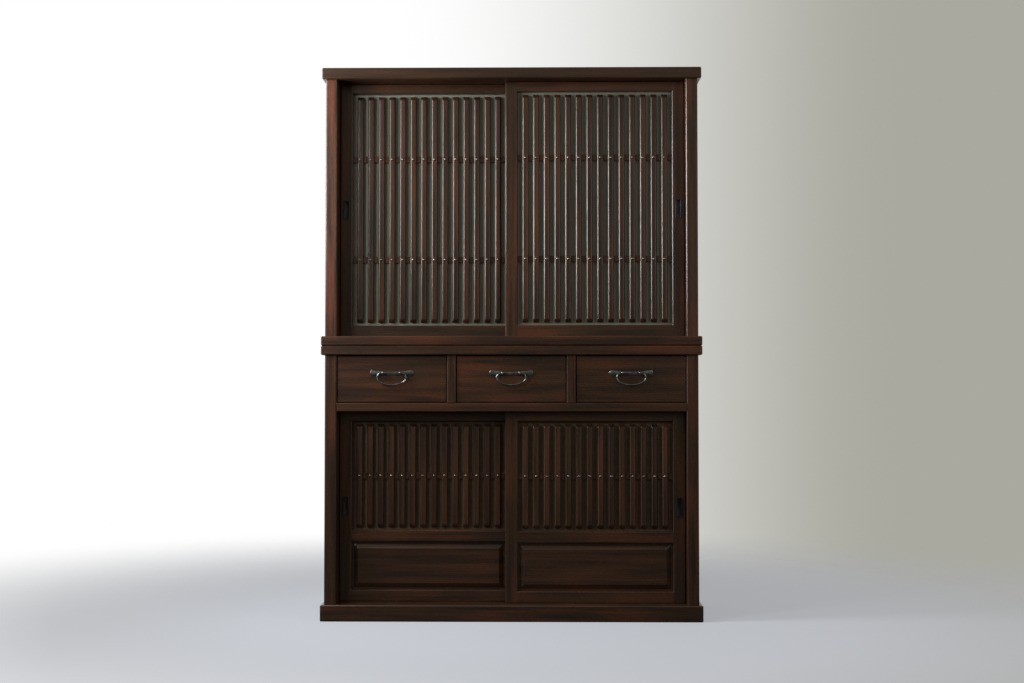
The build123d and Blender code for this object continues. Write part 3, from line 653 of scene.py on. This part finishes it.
def bail(pivot, rod_radius):
    """A round rod bent from eye to eye, with two tight shoulders and one wide bow."""
    x, y, z = pivot
    width = BAIL_HALF_WIDTH - SHOULDER_RADIUS
    drop = BAIL_DROP - SHOULDER_RADIUS
    bow_radius = (width ** 2 + drop ** 2 - SHOULDER_RADIUS ** 2) / (2 * (drop - SHOULDER_RADIUS))
    half_angle = asin(width / (bow_radius - SHOULDER_RADIUS))
    stub_end = PIVOT_SPACING / 2 - EYE_RADIUS - BAIL_STUB
    rod = begin("circle", vertices=12, radius=rod_radius, fill_type="NGON", location=(x - stub_end, y, z),
                rotation=(0, pi / 2, 0))
    extrude((stub_end - width, 0, 0))
    for steps, angle, centre in (
        (BAIL_SHOULDER_STEPS, pi - half_angle, (x - width, y, z - SHOULDER_RADIUS)),
        (BAIL_BOW_STEPS, 2 * half_angle, (x, y, z - BAIL_DROP + bow_radius)),
        (BAIL_SHOULDER_STEPS, pi - half_angle, (x + width, y, z - SHOULDER_RADIUS)),
    ):
        bpy.ops.mesh.spin(steps=steps, angle=angle, center=centre, axis=(0, 1, 0))
    extrude((stub_end - width, 0, 0))
    tidy_shell(rod)
    return rod


def finger_pull(node, rim):
    """A dished cup with a rolled rim, let into the stile."""
    low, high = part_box(node)
    middle = (low + high) / 2
    middle.y = low.y
    front = high.y - PULL_DEPTH
    pull = begin("plane", size=1, location=middle, rotation=(pi / 2, 0, 0))
    bpy.ops.transform.resize(value=(high.x - low.x, 1, high.z - low.z), center_override=middle)
    bpy.ops.mesh.bevel(offset=PULL_CORNER, segments=4, affect="VERTICES")
    bpy.ops.mesh.inset(thickness=rim)
    extrude((0, high.y - low.y - 2 * PULL_SKIN, 0))
    bpy.ops.transform.resize(value=PULL_TAPER, center_override=middle)
    bpy.ops.mesh.select_all(action="DESELECT")
    bpy.ops.mesh.select_mode(type="EDGE")
    bpy.ops.mesh.select_non_manifold()
    extrude((0, front - low.y - PULL_SKIN, 0))
    apply_modifier(pull, "BEVEL", width=PULL_ROUNDING, segments=3, limit_method="ANGLE",
                   angle_limit=PULL_FOLD_ANGLE)
    apply_modifier(pull, "SOLIDIFY", thickness=PULL_SKIN, offset=-1)
    tidy_shell(pull)
    return pull


# ---------------------------------------------------------------- studio

# Each lamp's place, what it is aimed at, its width and height, and its share of the setting for its power
LAMPS = {
    "window": ((-1.25, -0.5, 1.62), (-0.2, -0.2, 1.55), (0.6, 0.9), 1.0, "window"),
    "overhead light": ((-0.4, -1.9, 3.0), (0.0, -0.2, 1.3), (2.4, 0.8), 1.0, "overhead"),
    "left light": ((-1.65, -1.9, 1.67), (0.0, -0.2, 1.5), (0.5, 0.8), 1.0, "sides"),
    "right light": ((1.7, -1.8, 1.5), (0.0, -0.2, 1.5), (0.8, 0.9), 0.28, "sides"),
}

# The floor fades out over a span of its radius. A part of its paleness is a glow that only the camera sees,
# and it bounces only a part of its colour, so it doesn't light the wood from below
FLOOR_RADIUS = 9
FLOOR_FADE = {"From Min": 0.9, "From Max": 3.0}
FLOOR_GLOW = 0.55
FLOOR_BOUNCE = 0.15
FLOOR_ROUGHNESS = 0.8
FLOOR_SPECULAR = 0.2

# The world by direction: X to the right, Y to the back, and Z up
BACKDROP_TURN = {"From Min": -0.1, "From Max": 0.24}
BACKDROP_REACH = {"From Min": -0.4, "From Max": -0.1}
ROOM_FLOOR = {"From Min": -0.15, "From Max": 0.25}
ROOM_CEILING = {"From Min": 0.25, "From Max": 0.6, "To Min": 1.0, "To Max": 0.5}
ROOM_SIDE = {"From Min": 0.2, "From Max": 0.9}
ROOM_SIDE_SHARE = 0.6


# ---------------------------------------------------------------- operators


class MIZUYA_OT_arrises(bpy.types.Operator):
    """Eases the sharp arrises of the stained wood"""

    bl_idname = "mizuya.arrises"
    bl_label = "Eased arrises"

    def execute(self, context):
        sizes = context.scene.mizuya_sizes
        for node, slot in SLOTS.items():
            if slot == "stained_wood":
                is_slats = node.endswith("_slats")
                shown[node] = eased(node, sizes.slat_arris if is_slats else sizes.arris, is_slats)
        return {"FINISHED"}


class MIZUYA_OT_wood(bpy.types.Operator):
    """Gives every wooden piece its finish"""

    bl_idname = "mizuya.wood"
    bl_label = "Wood finishes"

    def execute(self, context):
        colours = context.scene.mizuya_colours
        stain = [list(value) for value in (colours.stain_dark, colours.stain_mid, colours.stain_bright)]

        # Cedar under a rubbed dark stain: fine straight streaks from near black to brown, red patches where
        # the stain is thin, and the low sheen of oiled wood. Each member has a figure of its own
        for name, nodes, layout, looks in (
            ("Stained cedar, boards",
             ["upper_top_board", "upper_bottom_board", "lower_top_board", "lower_floor_board",
              "upper_back_rail"], grain("X"), {}),
            ("Stained cedar, side rails", ["upper_side_rails", "lower_side_rails"],
             grain("Y", paired=1.0), {}),
            # Partly painted light: the red patches under the stain are real, but they are drawn stronger on the
            # posts so that the posts read brighter, as where window light falls on them
            ("Stained cedar, front posts", ["upper_front_posts", "lower_front_posts"],
             grain("Z", paired=3.0), {"glow": 1.5}),
            ("Stained cedar, uprights",
             ["upper_back_posts", "lower_back_posts", "drawer_dividers", "upper_side_panels",
              "lower_side_panels", "upper_door_jambs", "lower_door_jambs"], grain("Z", paired=1.0), {}),
            ("Stained cedar, door frames", [door + "_frame" for door in DOORS], door_frame_grain, {}),
            # Narrow strips from many boards: neighbours differ more in tone, with less red
            ("Stained cedar, slats", [door + "_slats" for door in DOORS], slat_grain,
             {"glow": 0.6, "tones": 0.4}),
            ("Stained cedar, crossbars", [door + "_crossbars" for door in DOORS], grain("X"), {}),
            # Painted shade: these sit in the lower half, where less light falls, so their stain is drawn dark,
            # with hardly any red
            ("Stained cedar, raised panels and drawer rail",
             ["lower_left_door_raised_panel", "lower_right_door_raised_panel", "drawer_rail"], grain("X"),
             {"glow": 0.3}),
            ("Stained cedar, drawer fronts", [drawer + "_front" for drawer in DRAWERS],
             drawer_front_grain, {}),
            ("Stained cedar, plinth", ["plinth"], plinth_grain, {}),
        ):
            finish(nodes, wood(name, layout, stain, **looks))

        for name, nodes, layout, base in (
            # A thin dark board, which sets off the slats before it
            ("Backing board", ["lower_left_door_pane", "lower_right_door_pane"], grain("X"),
             colours.backing),
            # Bare planed cedar, warm and matt, with plain growth rings
            ("Plain cedar, shelves", ["lower_shelf", "upper_shelves", "drawer_deck"], grain("X"),
             colours.cedar),
            ("Plain cedar, battens and guides", ["shelf_battens", "drawer_partitions", "drawer_guides"],
             grain("Y", paired=1.0), colours.cedar),
            # Thin boards with one coat of stain, so they stay lighter than the frame and matt
            ("Stained back boards", ["upper_back_panels", "lower_back_panel"], grain("Z"),
             colours.back_board),
            # Pale, silky and light in weight, left bare as drawer boxes are
            ("Paulownia, drawer boxes", [drawer + "_box" for drawer in DRAWERS], drawer_box_grain,
             colours.paulownia),
        ):
            shades = [[channel * shade for channel in base] for shade in PLAIN_SHADES]
            finish(nodes, wood(name, layout, shades, rings=0.2, roughness=0.55))
        return {"FINISHED"}


class MIZUYA_OT_panes(bpy.types.Operator):
    """Gives the upper panes their frosted glass"""

    bl_idname = "mizuya.panes"
    bl_label = "Frosted panes"

    def execute(self, context):
        # An even grey-green veil that lets a little light through, but no shapes
        finish(["upper_left_door_pane", "upper_right_door_pane"],
               frosted_glass(list(context.scene.mizuya_colours.glass)))
        return {"FINISHED"}


class MIZUYA_OT_handles(bpy.types.Operator):
    """Forges the drawer handles: a plate with two eye pins, and a bail that swings in them"""

    bl_idname = "mizuya.handles"
    bl_label = "Drawer handles"

    def execute(self, context):
        sizes = context.scene.mizuya_sizes
        # Polished by hands: dark grey, with crisp glints along the rods and the plate's edges
        iron = forged_iron("Forged iron, black", list(context.scene.mizuya_colours.iron), roughness=0.2)
        pivots = {joint["child"]: Vector(joint["pos_m"]) for joint in frame["joints"] if "pos_m" in joint}
        first = pivots[DRAWERS[0] + "_bail"]
        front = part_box(DRAWERS[0] + "_front")[0].y
        plate = handle_plate(first.x, front, first.z, sizes.plate_edge)
        left_pin = eye_pin(first.x - PIVOT_SPACING / 2, front, first.z, sizes.bail_rod / 2)
        right_pin = duplicate(left_pin, (PIVOT_SPACING, 0, 0))
        plate = join([plate, left_pin, right_pin])
        rod = bail(first, sizes.bail_rod / 2)
        for drawer in DRAWERS:
            offset = pivots[drawer + "_bail"] - first
            for piece, kind, body in ((plate, "_handle_plate", drawer), (rod, "_bail", drawer + "_bail")):
                forged = duplicate(piece, offset)
                settle(forged, drawer + kind + "_forged", body, iron)
                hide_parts(drawer + kind)
        bpy.data.objects.remove(plate)
        bpy.data.objects.remove(rod)
        return {"FINISHED"}


class MIZUYA_OT_pulls(bpy.types.Operator):
    """Sinks a finger pull into the closing stile of each door"""

    bl_idname = "mizuya.pulls"
    bl_label = "Finger pulls"

    def execute(self, context):
        # Darker iron than the drawer handles: nearly black, with a dull rim
        iron = forged_iron("Forged iron, dull", list(context.scene.mizuya_colours.pull), roughness=0.3)
        nodes = [door + "_finger_pull" for door in DOORS]
        pull = finger_pull(nodes[0], context.scene.mizuya_sizes.pull_rim)
        for door, node in zip(DOORS, nodes):
            cup = duplicate(pull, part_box(node)[0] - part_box(nodes[0])[0])
            settle(cup, node + "_dished", door, iron)
            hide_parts(node)
        bpy.data.objects.remove(pull)
        return {"FINISHED"}


class MIZUYA_OT_nails(bpy.types.Operator):
    """Drives a dome nail where each slat crosses a crossbar"""

    bl_idname = "mizuya.nails"
    bl_label = "Dome nails"

    def execute(self, context):
        sizes = context.scene.mizuya_sizes
        # Brown where the stain has run over them, with one small bright glint on each dome
        browned = forged_iron("Forged iron, browned", list(context.scene.mizuya_colours.nail), roughness=0.22)
        row = None
        for door in DOORS:
            slat_low, slat_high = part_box(door + "_slats")
            bar_low, bar_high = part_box(door + "_crossbars")
            # The lower doors have one crossbar, where both heights are the same
            heights = {round(bar_low.z + CROSSBAR_HEIGHT / 2, 6), round(bar_high.z - CROSSBAR_HEIGHT / 2, 6)}
            pitch = (slat_high.x - slat_low.x - SLAT_WIDTH) / (SLAT_COUNT - 1)
            for number, height in enumerate(sorted(heights), 1):
                place = Vector((slat_low.x + SLAT_WIDTH / 2, slat_low.y, height))
                if row is None:
                    start = place
                    row = nail_row(place, pitch, sizes.nail_diameter / 2, sizes.nail_height)
                nails = duplicate(row, place - start)
                settle(nails, f"{door}_nails_{number}", door, browned)
        bpy.data.objects.remove(row)
        return {"FINISHED"}


class MIZUYA_OT_studio(bpy.types.Operator):
    """Sets up the floor, the light and the camera"""

    bl_idname = "mizuya.studio"
    bl_label = "Studio"

    def execute(self, context):
        settings = context.scene.mizuya_studio
        colours = context.scene.mizuya_colours
        context.scene.view_settings.view_transform = "Standard"
        self.floor(list(colours.floor))
        self.world(colours, settings.room)
        for name, (place, target, size, share, setting) in LAMPS.items():
            self.lamp(name, place, target, size, share * getattr(settings, setting))

        deselect()
        place = (settings.aside, -settings.distance, settings.height)
        bpy.ops.object.camera_add(location=place, rotation=(pi / 2 + settings.tilt, 0, settings.turn))
        camera = bpy.context.object
        camera.name = "camera"
        camera.data.lens = settings.lens
        context.scene.camera = camera
        return {"FINISHED"}

    def floor(self, base):
        """A pale floor that fades into the backdrop, and that gives the wood little light from below."""
        deselect()
        bpy.ops.mesh.primitive_circle_add(vertices=96, radius=FLOOR_RADIUS, fill_type="NGON")
        floor = bpy.context.object
        floor.name = "floor"
        # Matt and even, so that only the cabinet's shadow shows on it
        material, tree = blank_material("Pale floor paint")
        position = add(tree, "TexCoord").outputs["Object"]
        distance = add(tree, "VectorMath", [position], operation="LENGTH")
        fade = add(tree, "MapRange", {"Value": distance, **FLOOR_FADE}, interpolation_type="SMOOTHSTEP")
        is_seen = add(tree, "LightPath").outputs["Is Camera Ray"]
        dim = [channel * FLOOR_BOUNCE for channel in base]
        shade = add(tree, "Mix", {"Factor": is_seen, "A": dim, "B": base}, data_type="RGBA")
        paint = add(tree, "BsdfPrincipled", {
            "Base Color": shade, "Roughness": FLOOR_ROUGHNESS, "Specular IOR Level": FLOOR_SPECULAR})
        glow = add(tree, "Emission", {"Color": base, "Strength": 1.0})
        share = add(tree, "Math", [is_seen, FLOOR_GLOW], operation="MULTIPLY")
        pale = add(tree, "MixShader", [share, paint, glow])
        clear = add(tree, "BsdfTransparent")
        add(tree, "OutputMaterial", {"Surface": add(tree, "MixShader", [fade, pale, clear])})
        floor.data.materials.append(material)

    def world(self, colours, brightness):
        """A backdrop that is white towards the window, in a room that is dim near the floor."""
        world = bpy.data.worlds.new("Studio")
        bpy.context.scene.world = world
        world.use_nodes = True
        tree = world.node_tree
        tree.nodes.clear()
        direction = add(tree, "TexCoord").outputs["Generated"]
        parts = add(tree, "SeparateXYZ", [direction])
        aside = add(tree, "MapRange", {"Value": parts.outputs["X"], **BACKDROP_TURN},
                    interpolation_type="SMOOTHSTEP")
        left = list(colours.backdrop_left)
        right = list(colours.backdrop_right)
        tint = add(tree, "Mix", {"Factor": aside, "A": left, "B": right}, data_type="RGBA")
        backdrop = add(tree, "Background", {"Color": tint, "Strength": 1.0})

        level = add(tree, "MapRange", {"Value": parts.outputs["Z"], **ROOM_FLOOR, "To Max": brightness},
                    interpolation_type="SMOOTHSTEP")
        ceiling = add(tree, "MapRange", {"Value": parts.outputs["Z"], **ROOM_CEILING},
                      interpolation_type="SMOOTHSTEP")
        side = add(tree, "MapRange", {
            "Value": parts.outputs["X"], **ROOM_SIDE, "To Max": brightness * ROOM_SIDE_SHARE},
            interpolation_type="SMOOTHSTEP")
        strength = add(tree, "Math", [level, ceiling, side], operation="MULTIPLY_ADD")
        room = add(tree, "Background", {"Color": list(colours.room), "Strength": strength})

        # The camera sees the backdrop, and so do rays that iron mirrors or glass lets through to the back
        path = add(tree, "LightPath")
        mirrored = add(tree, "Math", [path.outputs["Is Glossy Ray"], path.outputs["Is Transmission Ray"]],
                       operation="MAXIMUM")
        reach = add(tree, "MapRange", {"Value": parts.outputs["Y"], **BACKDROP_REACH})
        is_mirrored = add(tree, "Math", [mirrored, reach], operation="MULTIPLY")
        is_seen = add(tree, "Math", [path.outputs["Is Camera Ray"], is_mirrored], operation="MAXIMUM")
        add(tree, "OutputWorld", {"Surface": add(tree, "MixShader", [is_seen, room, backdrop])})

    def lamp(self, name, place, target, size, power):
        """A soft lamp that the camera doesn't see."""
        deselect()
        aim = (Vector(target) - Vector(place)).to_track_quat("-Z", "Y").to_euler()
        bpy.ops.object.light_add(type="AREA", location=place, rotation=aim)
        lamp = bpy.context.object
        lamp.name = name
        lamp.data.shape = "RECTANGLE"
        lamp.data.size, lamp.data.size_y = size
        lamp.data.energy = power
        lamp.visible_camera = False


class MIZUYA_PT_panel(bpy.types.Panel):
    """Builds the looks of the cabinet, step by step"""

    bl_label = "Mizuya cabinet"
    bl_idname = "MIZUYA_PT_panel"
    bl_space_type = "VIEW_3D"
    bl_region_type = "UI"
    bl_category = "Mizuya"

    def draw(self, context):
        for group, kind in GROUPS.items():
            for name in kind.__annotations__:
                self.layout.prop(getattr(context.scene, group), name)
        for step in STEPS:
            self.layout.operator(step.bl_idname)


STEPS = (MIZUYA_OT_arrises, MIZUYA_OT_wood, MIZUYA_OT_panes, MIZUYA_OT_handles, MIZUYA_OT_pulls,
         MIZUYA_OT_nails, MIZUYA_OT_studio)
GROUPS = {
    "mizuya_colours": MIZUYA_PG_colours,
    "mizuya_sizes": MIZUYA_PG_sizes,
    "mizuya_studio": MIZUYA_PG_studio,
}


def register():
    """Registers the classes, and gives the scene its settings."""
    for kind in (*GROUPS.values(), *STEPS, MIZUYA_PT_panel):
        bpy.utils.register_class(kind)
    for name, kind in GROUPS.items():
        setattr(bpy.types.Scene, name, bpy.props.PointerProperty(type=kind))


def unregister():
    """Takes the settings and the classes away again."""
    for name in GROUPS:
        delattr(bpy.types.Scene, name)
    for kind in (MIZUYA_PT_panel, *reversed(STEPS), *GROUPS.values()):
        bpy.utils.unregister_class(kind)


def main():
    """Builds the looks of the cabinet."""
    register()
    for step in STEPS:
        group, name = step.bl_idname.split(".")
        getattr(getattr(bpy.ops, group), name)()


if __name__ == "__main__":
    main()
